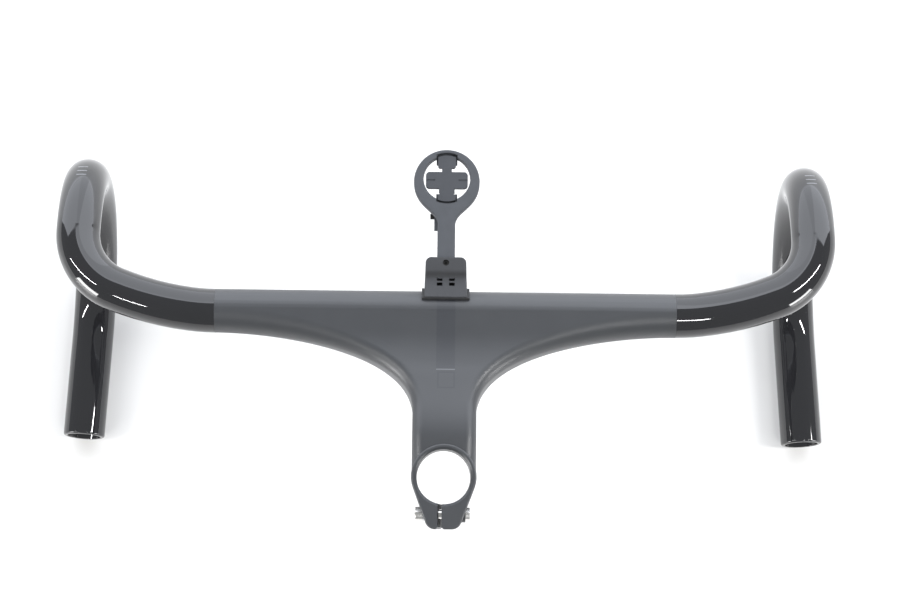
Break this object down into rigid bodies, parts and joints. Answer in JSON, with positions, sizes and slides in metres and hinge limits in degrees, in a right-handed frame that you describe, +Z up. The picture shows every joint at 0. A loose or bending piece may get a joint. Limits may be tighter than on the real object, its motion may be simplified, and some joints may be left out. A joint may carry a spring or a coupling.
{
  "type": "integrated handlebar stem",
  "caption": "One-piece road drop bar and stem in satin and gloss black carbon, with a slit steerer clamp and an out-front quarter-turn computer mount.",
  "frame": {"origin": "middle of the steerer clamp bore, on its axis", "axes": "+X to the rider's right, +Y forward, +Z up; the stem and the straight ends of the drops lie level, and the steerer bore leans 7 degrees rearwards at its top"},
  "size_m": [0.4434, 0.2136, 0.1574],
  "materials": {
    "carbon_satin": "moulded carbon composite, satin black middle, gloss black drops",
    "titanium": "bare bright bolt metal",
    "steel": "plain steel",
    "rubber": "moulded rubber, matte",
    "mount_plastic": "glass-filled nylon, fine moulded grain",
    "receiver_plastic": "moulded nylon",
    "black_steel": "black oxide",
    "insert_alloy": "turned aluminium"
  },
  "bodies": {
    "root": {"bar_stem": "carbon_satin", "upper_pinch_bolt": "titanium", "lower_pinch_bolt": "titanium", "upper_pinch_washer": "steel", "lower_pinch_washer": "steel", "upper_pinch_nut": "titanium", "lower_pinch_nut": "titanium", "mount_pad": "rubber", "mount_base": "mount_plastic", "mount_arm": "mount_plastic", "lug_screw": "black_steel", "lug_nut": "steel", "mount_bolt_left": "black_steel", "mount_bolt_right": "black_steel", "bar_insert_left": "insert_alloy", "bar_insert_right": "insert_alloy", "arm_set_screw": "black_steel", "quarter_turn_receiver": "receiver_plastic", "receiver_screw_front": "black_steel", "receiver_screw_rear": "black_steel"}
  },
  "joints": []
}
